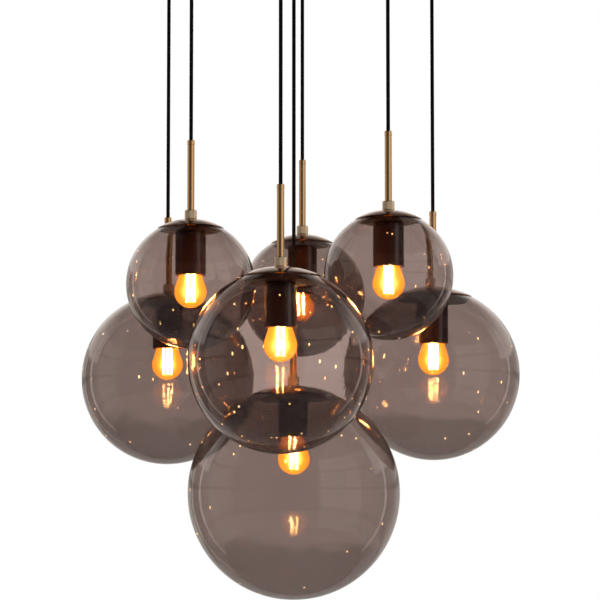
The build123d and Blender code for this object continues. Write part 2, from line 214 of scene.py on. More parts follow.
# ---------------------------------------------------------------- stems
# Drawn brass tube of 10 mm, lacquered, with a screwed collar on top whose flared mouth takes
# the cord. A fine groove shows where collar and tube meet. Its foot screws into the cup.
STEM_RADIUS = 0.0050
STEM_BORE = 0.0034
STEM_FOOT = {"small": -0.0238, "medium": -0.0279, "large": -0.0288}
COLLAR_TOP = 0.113
COLLAR_HEIGHT = 0.007
COLLAR_RADIUS = 0.0053
COLLAR_ROUND = 0.0010
CORD_SEAT = 0.0027
CORD_LEAN = radians(7)
WIRE_WAY = 0.0020
JOINT_HEIGHT = COLLAR_TOP - COLLAR_HEIGHT
GROOVE_RADIUS = STEM_RADIUS - 0.00025
PART_LINE = 0.00001
BRASS_LIGHT = (0.93, 0.61, 0.32)
BRASS_DARK = (0.86, 0.54, 0.26)


def arc(centre, radius, start, end, steps):
    """Points on an arc in an outline; angles are from the outward level, counter-clockwise."""
    return [
        (
            centre[0] + radius * cos(start + (end - start) * step / steps),
            centre[1] + radius * sin(start + (end - start) * step / steps),
        )
        for step in range(steps + 1)
    ]


def lathe(work, outline, steps=96, closed=True):
    """Turns an outline of (radius, height) points into a skin round the upright axis."""
    points = [work.verts.new((max(radius, 0.0), 0, height)) for radius, height in outline]
    edges = [work.edges.new(pair) for pair in zip(points, points[1:])]
    if closed:
        edges.append(work.edges.new((points[-1], points[0])))
    bmesh.ops.spin(
        work, geom=points + edges, cent=(0, 0, 0), axis=(0, 0, 1), angle=2 * pi,
        steps=steps, use_merge=True,
    )


def piece_from(work, name, place, material, body, nodes=(), sharp=35.0):
    """Makes the worked mesh a piece that stands at a place and rides on a body."""
    bmesh.ops.remove_doubles(work, verts=work.verts, dist=1e-6)
    bmesh.ops.dissolve_degenerate(work, edges=work.edges, dist=1e-7)
    bmesh.ops.recalc_face_normals(work, faces=work.faces)
    bmesh.ops.translate(work, verts=work.verts, vec=place)
    for face in work.faces:
        face.smooth = True
    mesh = bpy.data.meshes.new(name)
    work.to_mesh(mesh)
    work.free()
    mesh.set_sharp_from_angle(angle=radians(sharp))
    mesh.materials.append(material)
    piece = bpy.data.objects.new(name, mesh)
    bpy.context.scene.collection.objects.link(piece)
    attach(piece, body)
    if nodes:
        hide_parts(*nodes)
    return piece


drawn_brass = finish_of(
    "drawn_brass", BRASS_LIGHT, BRASS_DARK, (700, 700, 9), (0.15, 0.22), 0.01,
    Metallic=1.0,
)

for name in PENDANTS:
    foot, collar_foot = STEM_FOOT[size_of[name]], JOINT_HEIGHT + PART_LINE
    flare = CORD_SEAT / cos(CORD_LEAN) + (COLLAR_TOP - COLLAR_BEND) * tan(CORD_LEAN)
    work = bmesh.new()
    lathe(work, [
        (STEM_BORE, foot), (STEM_RADIUS, foot), (STEM_RADIUS, JOINT_HEIGHT - 0.0006),
        (GROOVE_RADIUS, JOINT_HEIGHT - 0.0003), (GROOVE_RADIUS, JOINT_HEIGHT),
        (STEM_BORE, JOINT_HEIGHT),
    ])
    lathe(work, [
        (WIRE_WAY, collar_foot), (GROOVE_RADIUS, collar_foot),
        (GROOVE_RADIUS, JOINT_HEIGHT + 0.0002), (COLLAR_RADIUS, JOINT_HEIGHT + 0.0006),
        *arc(
            (COLLAR_RADIUS - COLLAR_ROUND, COLLAR_TOP - COLLAR_ROUND), COLLAR_ROUND, 0, pi / 2, 6
        ),
        (flare, COLLAR_TOP),
        (CORD_SEAT * cos(CORD_LEAN), COLLAR_BEND - CORD_SEAT * sin(CORD_LEAN)),
        *arc((0, COLLAR_BEND), CORD_SEAT, -CORD_LEAN, -acos(WIRE_WAY / CORD_SEAT), 5)[1:],
    ])
    piece_from(
        work, f"{name}_stem_tube", globe_top[name], drawn_brass, f"{name}_lamp",
        [f"{name}_stem"],
    )

# ---------------------------------------------------------------- nuts
# Turned brass nut, 17 mm across and 13 mm high, knurled all round. It clamps the cap down on
# the gallery.
NUT_RADIUS = 0.0085
NUT_HEIGHT = 0.013
NUT_CHAMFER = 0.0006
KNURLS = 30
KNURL_DEPTH = 0.00030
NUT_RINGS = 8
ON_STEM = STEM_RADIUS + 0.00005  # bore of every piece that the stem passes through
SEAT_GAP = 0.00002
CAP_TOP = {"small": 0.00105, "medium": 0.00118, "large": 0.00123}
NUT_LIGHT = (1.0, 0.84, 0.62)
NUT_DARK = (0.92, 0.70, 0.46)

knurled_brass = finish_of(
    "knurled_brass", NUT_LIGHT, NUT_DARK, (1500, 1500, 1500), (0.15, 0.26), 0.08,
    Metallic=1.0,
)

for name in PENDANTS:
    foot = CAP_TOP[size_of[name]] + SEAT_GAP
    knurled = NUT_HEIGHT - 2 * NUT_CHAMFER
    work = bmesh.new()
    lathe(work, [
        (ON_STEM, foot), (NUT_RADIUS - NUT_CHAMFER, foot),
        *[
            (NUT_RADIUS, foot + NUT_CHAMFER + knurled * step / NUT_RINGS)
            for step in range(NUT_RINGS + 1)
        ],
        (NUT_RADIUS - NUT_CHAMFER, foot + NUT_HEIGHT), (ON_STEM, foot + NUT_HEIGHT),
    ], steps=KNURLS * 6)
    for vertex in work.verts:
        outward = vertex.co.xy.length
        if outward > NUT_RADIUS - 1e-5:
            turn = atan2(vertex.co.y, vertex.co.x) * KNURLS
            vertex.co.xy *= 1 - KNURL_DEPTH * max(0.0, cos(turn)) / outward
    piece_from(
        work, f"{name}_knurled_nut", globe_top[name], knurled_brass, f"{name}_lamp",
        [f"{name}_nut"], sharp=50,
    )

# ---------------------------------------------------------------- caps
# Spun dome that follows the glass, polished to a mirror and plated in dark bronze. It lies
# 0.3 mm above the glass, has a flat for the nut, and hides the mouth of the globe.
CAP_RADIUS = {"small": 0.046, "medium": 0.056, "large": 0.0605}
CAP_LIFT = 0.0003
CAP_WALL = 0.0012
CAP_LAND = 0.009
CAP_EDGE = 0.0006
BRONZE_LIGHT = (0.43, 0.285, 0.205)
BRONZE_DARK = (0.37, 0.235, 0.165)

mirror_bronze = finish_of(
    "mirror_bronze", BRONZE_LIGHT, BRONZE_DARK, (30, 30, 30), (0.035, 0.075), 0.02,
    Metallic=1.0,
)


def meridian(ball, start, end, steps):
    """Outline along a ball between two angles from its top, heights from its middle."""
    return [
        (
            ball * sin(start + (end - start) * step / steps),
            ball * cos(start + (end - start) * step / steps),
        )
        for step in range(steps + 1)
    ]


for name in PENDANTS:
    size = size_of[name]
    ball = GLOBE_RADIUS[size]
    inner, outer = ball + CAP_LIFT, ball + CAP_LIFT + CAP_WALL
    rim = CAP_RADIUS[size] - CAP_EDGE
    over = meridian(outer, asin(CAP_LAND / outer), asin(rim / outer), 24)
    under = meridian(inner, asin(ON_STEM / inner), asin(rim / inner), 24)
    tip = (CAP_RADIUS[size], (over[-1][1] + under[-1][1] - CAP_EDGE) / 2)
    outline = [(ON_STEM, CAP_TOP[size] + ball), *over, tip, *under[::-1]]
    work = bmesh.new()
    lathe(work, [(radius, height - ball) for radius, height in outline], 144)
    piece_from(
        work, f"{name}_dome", globe_top[name], mirror_bronze, f"{name}_lamp",
        [f"{name}_cap"],
    )

# ---------------------------------------------------------------- galleries
# Pressed steel pan in black enamel under the cap, with a rounded lower corner. Its three lugs
# reach under the glass and carry it, as a bayonet does.
CAP_OVERHANG = 0.0055
MOUTH = {size: radius - CAP_OVERHANG for size, radius in CAP_RADIUS.items()}
GLASS_WALL = {"small": 0.0025, "medium": 0.0028, "large": 0.0030}
SKIRT = {"small": 0.0006, "medium": 0.0036, "large": 0.0046}
PAN_WALL = 0.0012
PAN_CLEAR = 0.0007
PAN_CORNER = 1.6 * PAN_WALL
PAN_TO_CAP = 0.0001
LUGS = 3
LUG_WIDTH = 0.012
LUG_REACH = 0.0024
ENAMEL_LIGHT = (0.034, 0.012, 0.007)
ENAMEL_DARK = (0.022, 0.008, 0.005)

black_enamel = finish_of(
    "black_enamel", ENAMEL_LIGHT, ENAMEL_DARK, (220, 220, 220), (0.22, 0.38), 0.06,
)

floor_of_pan = {}
for name in PENDANTS:
    size = size_of[name]
    ball = GLOBE_RADIUS[size]
    tip = MOUTH[size] + LUG_REACH
    lug_top = sqrt((ball - GLASS_WALL[size]) ** 2 - tip**2) - ball - CAP_LIFT
    floor_of_pan[name] = lug_top - PAN_WALL - SKIRT[size]
    wall = MOUTH[size] - PAN_CLEAR
    rim = sqrt((ball + CAP_LIFT) ** 2 - wall**2) - ball - PAN_TO_CAP
    low = floor_of_pan[name]
    work = bmesh.new()
    lathe(work, [
        (ON_STEM, low),
        *arc((wall - PAN_WALL, low + PAN_WALL), PAN_WALL, -pi / 2, 0, 6),
        (wall, rim), (wall - PAN_WALL, rim), (wall - PAN_WALL, low + PAN_CORNER),
        (wall - PAN_CORNER, low + PAN_WALL), (ON_STEM, low + PAN_WALL),
    ], 144)
    for turn in range(LUGS):
        root = wall - PAN_WALL / 2
        lug = bmesh.ops.create_cube(work, size=1.0)["verts"]
        bmesh.ops.scale(work, vec=(tip - root, LUG_WIDTH, PAN_WALL), verts=lug)
        bmesh.ops.translate(
            work, vec=((tip + root) / 2, 0, lug_top - PAN_WALL / 2), verts=lug
        )
        bearing = pi / 2 + 2 * pi / LUGS * turn + bearing_of[name]
        bmesh.ops.rotate(work, cent=(0, 0, 0), matrix=Matrix.Rotation(bearing, 3, "Z"), verts=lug)
    piece_from(
        work, f"{name}_pan", globe_top[name], black_enamel, f"{name}_lamp",
        [f"{name}_gallery"],
    )

# ---------------------------------------------------------------- globes
# Mouth-blown clear glass tinted smoke brown, open at the top, with a fire-polished lip and
# three ground notches that let the lugs pass. The wall is 2.5 to 3 mm thick.
SMOKE = (0.458, 0.385, 0.360)
SMOKE_AT_RIM = (0.460, 0.385, 0.358)
TINT_LIGHTER = {  # how much lighter each globe's smoke tint is made
    "small_left": 1.16, "small_back": 1.06, "small_right": 1.16, "medium_front": 1.34,
    "medium_left": 1.01, "medium_right": 1.07, "large": 1.05,
}
THINNER_TINT = 0.97
BLOWN_GRAIN = (9, 9, 9)
BLOWN_RELIEF = (0.16, 0.003, 5.0)  # strength, depth and detail of the uneven surface
SHADE_AT = 1.5  # how many radii below the top of the glass the painted shade begins
SHADE_EDGE = (0.028, 0.040)
SHADE_TINT = 0.84
SHADE_WAVES = 11.0
SHADE_SWAY = 0.07
# Painted glints: amber specks that glow in the glass wall.
GLINT_COLOUR = (1.0, 0.60, 0.20, 1.0)
GLINT_BRIGHTNESS = 5.0
GLINT_SIZE = 0.11
GLINTS_PER_METRE = (150.0, 150.0, 45.0)
GLINT_SHARE = {  # how many of the cells hold a painted glint
    "small_left": 0.028, "small_back": 0.036, "small_right": 0.030, "medium_front": 0.080,
    "medium_left": 0.022, "medium_right": 0.030, "large": 0.018,
}
NOTCH_HALF_WIDTH = 0.0068
NOTCH_REACH = 0.0032
NOTCH_TURN = 40
NOTCH_SEARCH = 0.0004
LIP_STEPS = 8
LIP_ROUND = 0.35
GLOBE_STEPS = 72


def deepen_at_rim(material, colour):
    """Light that crosses a wall at a slant goes through more of it, so its tint deepens."""
    nodes, link = material.node_tree.nodes, material.node_tree.links.new
    base = nodes["Principled BSDF"].inputs["Base Color"]
    slant, deepen = nodes.new("ShaderNodeLayerWeight"), nodes.new("ShaderNodeMix")
    slant.inputs["Blend"].default_value = 0.5
    deepen.data_type = "RGBA"
    deepen.inputs["B"].default_value = (*colour, 1.0)
    link(slant.outputs["Facing"], deepen.inputs["Factor"])
    link(base.links[0].from_socket, deepen.inputs["A"])
    link(deepen.outputs["Result"], base)


def shade_below(material, height):
    """Painted shade: the tint of the glass is made deeper towards the bottom, with a wavy edge."""
    nodes, link = material.node_tree.nodes, material.node_tree.links.new
    base = nodes["Principled BSDF"].inputs["Base Color"]
    place, split = nodes.new("ShaderNodeTexCoord"), nodes.new("ShaderNodeSeparateXYZ")
    wave, sway = nodes.new("ShaderNodeTexNoise"), nodes.new("ShaderNodeMath")
    fall, deepen = nodes.new("ShaderNodeMapRange"), nodes.new("ShaderNodeMix")
    wave.inputs["Scale"].default_value = SHADE_WAVES
    wave.inputs["Detail"].default_value = 1.0
    sway.operation = "MULTIPLY_ADD"
    sway.inputs[1].default_value = SHADE_SWAY
    fall.interpolation_type = "SMOOTHSTEP"
    fall.inputs["From Min"].default_value = height + SHADE_EDGE[0]
    fall.inputs["From Max"].default_value = height + SHADE_EDGE[1]
    fall.inputs["To Min"].default_value = SHADE_TINT
    fall.inputs["To Max"].default_value = 1.0
    deepen.data_type = "RGBA"
    deepen.blend_type = "MULTIPLY"
    deepen.inputs["Factor"].default_value = 1.0
    link(place.outputs["Object"], split.inputs[0])
    link(place.outputs["Object"], wave.inputs["Vector"])
    link(wave.outputs["Fac"], sway.inputs[0])
    link(split.outputs["Z"], sway.inputs[2])
    link(sway.outputs[0], fall.inputs["Value"])
    link(base.links[0].from_socket, deepen.inputs["A"])
    link(fall.outputs["Result"], deepen.inputs["B"])
    link(deepen.outputs["Result"], base)


def painted_glints(material, share):
    """Painted glints: small drawn-out specks in the wall, a few of which glow amber in place of
    the bulbs' light caught by the glass.
    """
    nodes, link = material.node_tree.nodes, material.node_tree.links.new
    shader = nodes["Principled BSDF"]
    place, draw = nodes.new("ShaderNodeTexCoord"), nodes.new("ShaderNodeVectorMath")
    glint_cells, split = nodes.new("ShaderNodeTexVoronoi"), nodes.new("ShaderNodeSeparateColor")
    draw.operation = "MULTIPLY"
    draw.inputs[1].default_value = GLINTS_PER_METRE
    glint_cells.inputs["Scale"].default_value = 1.0
    small, few, both, level = (nodes.new("ShaderNodeMath") for _ in range(4))
    small.operation = few.operation = "LESS_THAN"
    small.inputs[1].default_value = GLINT_SIZE
    few.inputs[1].default_value = share
    both.operation = level.operation = "MULTIPLY"
    level.inputs[1].default_value = GLINT_BRIGHTNESS
    shader.inputs["Emission Color"].default_value = GLINT_COLOUR
    link(place.outputs["Object"], draw.inputs[0])
    link(draw.outputs[0], glint_cells.inputs["Vector"])
    link(glint_cells.outputs["Distance"], small.inputs[0])
    link(glint_cells.outputs["Color"], split.inputs[0])
    link(split.outputs[0], few.inputs[0])
    link(small.outputs[0], both.inputs[0])
    link(few.outputs[0], both.inputs[1])
    link(both.outputs[0], level.inputs[0])
    link(level.outputs[0], shader.inputs["Emission Strength"])


for name in PENDANTS:
    size = size_of[name]
    ball, mouth, wall = GLOBE_RADIUS[size], MOUTH[size], GLASS_WALL[size]
    inner, middle = ball - wall, ball - wall / 2
    tint = [channel * TINT_LIGHTER[name] for channel in SMOKE]
    smoke_glass = finish_of(
        f"smoke_glass_{name}", tint, [channel * THINNER_TINT for channel in tint], BLOWN_GRAIN,
        (0.0, 0.0), *BLOWN_RELIEF, Transmission_Weight=1.0, IOR=1.47,
    )
    deepen_at_rim(smoke_glass, [channel * TINT_LIGHTER[name] for channel in SMOKE_AT_RIM])
    # painted shade: the tint deepens towards the bottom of the globe
    shade_below(smoke_glass, globe_top[name].z - SHADE_AT * ball)
    # painted glints: a few specks of the wall glow amber
    painted_glints(smoke_glass, GLINT_SHARE[name])
    turn = asin(mouth / middle)
    lip = []
    for step in range(1, LIP_STEPS):
        across = middle + wall / 2 * cos(pi * step / LIP_STEPS)
        along = LIP_ROUND * wall * sin(pi * step / LIP_STEPS)
        lip.append((
            across * sin(turn) - along * cos(turn), across * cos(turn) + along * sin(turn)
        ))
    outline = [
        *meridian(ball, pi, asin(mouth / ball), GLOBE_STEPS), *lip,
        *meridian(inner, asin(mouth / inner), pi, GLOBE_STEPS),
    ]
    work = bmesh.new()
    lathe(work, [(radius, height - ball) for radius, height in outline], 144, closed=False)
    for vertex in work.verts:
        outward = vertex.co.xy.length
        if vertex.co.z > -ball and outward < mouth + NOTCH_SEARCH:
            bearing = atan2(vertex.co.y, vertex.co.x) - bearing_of[name]
            off = (degrees(bearing) - 90 + NOTCH_TURN + 180 / LUGS) % (360 / LUGS) - 180 / LUGS
            if abs(outward * sin(radians(off))) < NOTCH_HALF_WIDTH:
                reach = (mouth + NOTCH_REACH) / outward
                radius = (vertex.co + Vector((0, 0, ball))).length
                vertex.co.xy *= reach
                vertex.co.z = sqrt(radius**2 - vertex.co.xy.length_squared) - ball
    globe = piece_from(
        work, f"{name}_blown_globe", globe_top[name], smoke_glass, f"{name}_shade",
        [f"{name}_globe"],
    )
    globe.visible_shadow = False

# ---------------------------------------------------------------- lampholders
# Black moulded cup, 43 mm across, with rounded shoulders, which hides the screw socket. The
# lower edge is plain, and the mouth widens round the neck of the bulb.
CUP_RADIUS = 0.0215
CUP_ROUND = 0.0020
CUP_DEPTH = {"small": -0.0775, "medium": -0.0808, "large": -0.0781}
CUP_LIP = 0.0175
CUP_EDGE = 0.0005
CUP_FUNNEL = 0.0020
STEM_IN_CUP = 0.0080
SOCKET_RADIUS = 0.01328
SOCKET_DEPTH = 0.0254
CUP_LIGHT = (0.032, 0.007, 0.003)
CUP_DARK = (0.022, 0.005, 0.002)

moulded_black = finish_of(
    "moulded_black", CUP_LIGHT, CUP_DARK, (90, 90, 90), (0.20, 0.27), 0.02,
)

for name in PENDANTS:
    top, mouth = floor_of_pan[name], CUP_DEPTH[size_of[name]]
    work = bmesh.new()
    lathe(work, [
        (0, top - STEM_IN_CUP), (ON_STEM, top - STEM_IN_CUP), (ON_STEM, top - SEAT_GAP),
        *arc((CUP_RADIUS - CUP_ROUND, top - SEAT_GAP - CUP_ROUND), CUP_ROUND, pi / 2, 0, 8),
        *arc((CUP_RADIUS - CUP_EDGE, mouth + CUP_EDGE), CUP_EDGE, 0, -pi / 2, 4),
        *arc((CUP_LIP + CUP_EDGE, mouth + CUP_EDGE), CUP_EDGE, -pi / 2, -pi * 0.8, 4),
        (SOCKET_RADIUS, mouth + CUP_FUNNEL), (SOCKET_RADIUS, mouth + SOCKET_DEPTH),
        (0, mouth + SOCKET_DEPTH),
    ], 128, closed=False)
    piece_from(
        work, f"{name}_cup", globe_top[name], moulded_black, f"{name}_lamp",
        [f"{name}_lampholder"],
    )

# ---------------------------------------------------------------- bulbs
# Golf-ball bulb of 45 mm: blown amber envelope, rolled screw base with its contact, and four
# upright filaments on a glass post, which glow.
BULB_RADIUS = 0.0225
BULB_GLASS = 0.0009
BULB_DROP = 0.0010
BULB_SHOULDER = radians(16)
BULB_NECK = 0.0164
NECK_DROP = 0.0003
BASE_RADIUS = 0.0132
BASE_HEIGHT = 0.0230
THREADS = 5
THREAD_STEPS = 6
THREAD_SWELL = 0.0006
CONTACT_RADIUS = 0.0050
CONTACT_HEIGHT = 0.0025
FIT = 0.0001
FILAMENTS = 4
FILAMENT_RADIUS = 0.0009
FILAMENT_RING = 0.0060
FILAMENT_LENGTH = 0.038
POST_RADIUS = 0.0015
PLATE_RADIUS = FILAMENT_RING + 2 * FILAMENT_RADIUS
PLATE_THICK = 0.0008
AMBER_LIGHT = (1.0, 0.80, 0.46)
AMBER_DARK = (0.99, 0.76, 0.40)
BULB_GLOW = 2.0
GLOW_FALL = (  # from the middle of the ball to its outline
    (0.00, (1.00, 0.74, 0.34)), (0.045, (1.00, 0.62, 0.20)), (0.085, (0.62, 0.27, 0.030)),
    (0.14, (0.44, 0.150, 0.006)), (0.45, (0.34, 0.098, 0.003)), (0.80, (0.22, 0.058, 0.002)),
    (1.00, (0.12, 0.026, 0.001)),
)
HOT_LIGHT = (1.0, 0.80, 0.50, 1.0)
HOT_GLOW = 150.0
POST_LIGHT = (1.0, 0.72, 0.34, 1.0)
POST_GLOW = 3.0

amber_glass = finish_of(
    "amber_glass", AMBER_LIGHT, AMBER_DARK, (60, 60, 60), (0.06, 0.10), 0.03,
    Transmission_Weight=1.0, IOR=1.45,
)


def glow_from_core(material):
    """The glow is white before the filaments and falls off to amber at the outline."""
    nodes, link = material.node_tree.nodes, material.node_tree.links.new
    shader = nodes["Principled BSDF"]
    slant, fall = nodes.new("ShaderNodeLayerWeight"), nodes.new("ShaderNodeValToRGB")
    slant.inputs["Blend"].default_value = 0.5
    while len(fall.color_ramp.elements) < len(GLOW_FALL):
        fall.color_ramp.elements.new(0.5)
    for stop, (position, colour) in zip(fall.color_ramp.elements, GLOW_FALL):
        stop.position = position
        stop.color = (*colour, 1.0)
    shader.inputs["Emission Strength"].default_value = BULB_GLOW
    link(slant.outputs["Facing"], fall.inputs["Fac"])
    link(fall.outputs["Color"], shader.inputs["Emission Color"])


glow_from_core(amber_glass)
hot_filament = finish_of(
    "hot_filament", (0.9, 0.6, 0.2), (0.8, 0.5, 0.15), (700, 700, 700), (0.4, 0.6), 0.1,
    Emission_Color=HOT_LIGHT, Emission_Strength=HOT_GLOW,
)
lit_post = finish_of(
    "lit_post", (0.95, 0.93, 0.88), (0.88, 0.85, 0.80), (300, 300, 300), (0.10, 0.25), 0.05,
    Emission_Color=POST_LIGHT, Emission_Strength=POST_GLOW,
)
plated_base = finish_of(
    "plated_base", (0.74, 0.62, 0.42), (0.6, 0.5, 0.34), (300, 300, 900), (0.2, 0.35), 0.1,
    Metallic=1.0,
)

for name in PENDANTS:
    mouth = CUP_DEPTH[size_of[name]]
    neck = mouth - NECK_DROP
    centre = mouth - BULB_DROP - BULB_RADIUS
    thin = BULB_RADIUS - BULB_GLASS
    work = bmesh.new()
    lathe(work, [
        *arc((0, centre), BULB_RADIUS, -pi / 2, BULB_SHOULDER, 40),
        *arc((BULB_NECK - BULB_GLASS, neck - BULB_GLASS), BULB_GLASS, BULB_SHOULDER, pi / 2, 6),
        (BASE_RADIUS - BULB_GLASS, neck), (BASE_RADIUS - BULB_GLASS, neck - BULB_GLASS),
        (BULB_NECK - BULB_GLASS, neck - BULB_GLASS),
        *arc((0, centre), thin, BULB_SHOULDER, -pi / 2, 40),
    ], 96, closed=False)
    envelope = piece_from(
        work, f"{name}_bulb_envelope", globe_top[name], amber_glass, f"{name}_light",
        [f"{name}_bulb"],
    )
    envelope.visible_shadow = False

    work = bmesh.new()
    thread = []
    for step in range(THREADS * THREAD_STEPS + 1):
        radius = BASE_RADIUS - THREAD_SWELL * (1 - cos(2 * pi * step / THREAD_STEPS))
        rise = (BASE_HEIGHT - 6 * FIT) * step / (THREADS * THREAD_STEPS)
        thread.append((radius, neck + 2 * FIT + rise))
    crown = neck + BASE_HEIGHT
    lathe(work, [
        (0, neck + FIT), *thread,
        (CONTACT_RADIUS, crown), (CONTACT_RADIUS, crown + 0.7 * CONTACT_HEIGHT),
        (0.6 * CONTACT_RADIUS, crown + CONTACT_HEIGHT - FIT), (0, crown + CONTACT_HEIGHT - FIT),
    ], 64, closed=False)
    piece_from(
        work, f"{name}_bulb_base", globe_top[name], plated_base, f"{name}_light",
        sharp=60,
    )

    work = bmesh.new()
    low = neck - FILAMENT_LENGTH
    for turn in range(FILAMENTS):
        rod = bmesh.ops.create_cone(
            work, cap_ends=True, segments=16, radius1=FILAMENT_RADIUS, radius2=FILAMENT_RADIUS,
            depth=FILAMENT_LENGTH - 10 * FIT,
        )["verts"]
        bearing = bearing_of[name] + 2 * pi / FILAMENTS * (turn + 0.5)
        across = Vector((FILAMENT_RING, 0, (low + neck) / 2 - 3 * FIT))
        across.rotate(Matrix.Rotation(bearing, 3, "Z"))
        bmesh.ops.translate(work, verts=rod, vec=across)
    filament = piece_from(
        work, f"{name}_filaments", globe_top[name], hot_filament, f"{name}_light",
    )

    work = bmesh.new()
    foot, head = low + PLATE_THICK, neck - 2 * FIT
    lathe(work, [
        (0, low), (PLATE_RADIUS, low), (PLATE_RADIUS, foot), (POST_RADIUS, foot),
        (POST_RADIUS, head), (0, head),
    ], 48, closed=False)
    post = piece_from(
        work, f"{name}_filament_post", globe_top[name], lit_post, f"{name}_light",
        sharp=40,
    )
    for inside in (filament, post):
        inside.visible_diffuse = False
        inside.visible_shadow = False

# ---------------------------------------------------------------- canopy
# Spun steel dish of 500 mm, plated like the caps, closed against the ceiling over its bracket.
# The grips carry the same plating; the screws are zinc-plated, and the bracket is zinc-plated
# strip.
spun_bronze = finish_of(
    "spun_bronze", (0.34, 0.25, 0.19), (0.27, 0.195, 0.15), (25, 25, 700), (0.10, 0.18), 0.04,
    Metallic=1.0,
)
zinc_plate = finish_of(
    "zinc_plate", (0.66, 0.67, 0.69), (0.52, 0.53, 0.55), (40, 500, 40), (0.28, 0.45), 0.1,
    Metallic=1.0,
)

for node, material in (
    ("canopy_cover", spun_bronze), ("cord_grips", spun_bronze),
    ("canopy_screws", zinc_plate), ("ceiling_bracket", zinc_plate),
):
    mesh = frame["nodes"][node].data
    mesh.materials.clear()
    mesh.materials.append(material)

# ---------------------------------------------------------------- room and lights
# Pale floor well below, a white room behind the glass, and soft lamps. Metal and glass mirror
# a studio whose camera side is dark between pale panels.
FLOOR_DEPTH = 3.4
FLOOR_HALF = 7.0
SKY_LIGHT = (0.62, 0.61, 0.60, 1.0)
SKY_SEEN = (1.0, 1.0, 1.0, 1.0)


def set_on_stage(work, name, material):
    """Makes the worked mesh a part of the studio."""
    mesh = bpy.data.meshes.new(name)
    work.to_mesh(mesh)
    work.free()
    mesh.materials.append(material)
    prop = bpy.data.objects.new(name, mesh)
    bpy.context.scene.collection.objects.link(prop)
    return prop


work = bmesh.new()
bmesh.ops.create_grid(work, x_segments=1, y_segments=1, size=FLOOR_HALF)
bmesh.ops.translate(work, verts=work.verts, vec=(0, 0, -FLOOR_DEPTH))
pale_floor = finish_of(
    "pale_floor", (0.88, 0.87, 0.86), (0.84, 0.83, 0.82), (3, 3, 3), (0.5, 0.7),
)
studio_floor = set_on_stage(work, "studio_floor", pale_floor)
studio_floor.visible_glossy = False

world = bpy.data.worlds.new("studio")
world.use_nodes = True
bpy.context.scene.world = world
nodes, link = world.node_tree.nodes, world.node_tree.links.new
ray, direct = nodes.new("ShaderNodeLightPath"), nodes.new("ShaderNodeMath")
through, sky = nodes.new("ShaderNodeMath"), nodes.new("ShaderNodeMix")
direct.operation = through.operation = "MAXIMUM"
sky.data_type = "RGBA"
sky.inputs["A"].default_value = SKY_LIGHT
sky.inputs["B"].default_value = SKY_SEEN
link(ray.outputs["Is Camera Ray"], direct.inputs[0])
link(ray.outputs["Is Glossy Ray"], direct.inputs[1])
link(direct.outputs[0], through.inputs[0])
link(ray.outputs["Is Transmission Ray"], through.inputs[1])
link(through.outputs[0], sky.inputs["Factor"])
link(sky.outputs["Result"], nodes["Background"].inputs["Color"])

# Cards stand round the object: each stop is degrees from the camera's side to the left (minus)
# or right, and how bright a mirror sees it. They show in mirrored light only.
CARD_REACH = 8.0
CARD_GAIN = 2.2
CARDS = (
    (-180, 0.21), (-150, 0.23), (-141, 0.14), (-140, 0.40), (-138, 0.40), (-137, 0.10),
    (-120, 0.08), (-119, 0.62), (-116, 0.62), (-115, 0.12), (-100, 0.14), (-99, 0.24), (-70, 0.20),
    (-62, 0.08), (-20, 0.03), (8, 0.04), (30, 0.10), (36, 0.34), (80, 0.30), (84, 0.16),
    (112, 0.12), (120, 0.08), (121, 0.55), (124, 0.55), (125, 0.09), (138, 0.12),
    (152, 0.23), (180, 0.21),
)
HEIGHTS = (  # sine of the height, and how much of each card is left there
    (-1.00, 0.05), (-0.66, 0.05), (-0.65, 0.55), (-0.36, 0.70), (-0.34, 1.00), (-0.06, 1.00),
    (-0.05, 0.55), (-0.02, 0.55), (-0.01, 1.00), (0.24, 1.00), (0.25, 0.55), (0.28, 0.55),
    (0.29, 1.00), (0.46, 0.90), (0.50, 0.40), (0.80, 0.30), (1.00, 0.10),
)
BACKDROP = (  # what the caps see behind the object: bright above the horizon
    (-1.00, 0.00), (0.10, 0.00), (0.16, 0.42), (0.38, 0.38), (0.62, 0.10), (1.00, 0.05),
)
BACKDROP_EDGE = -0.25
CARD_TINT = (0.92, 0.86)  # green and blue, as shares of red
BACKDROP_TINT = (0.93, 0.88)


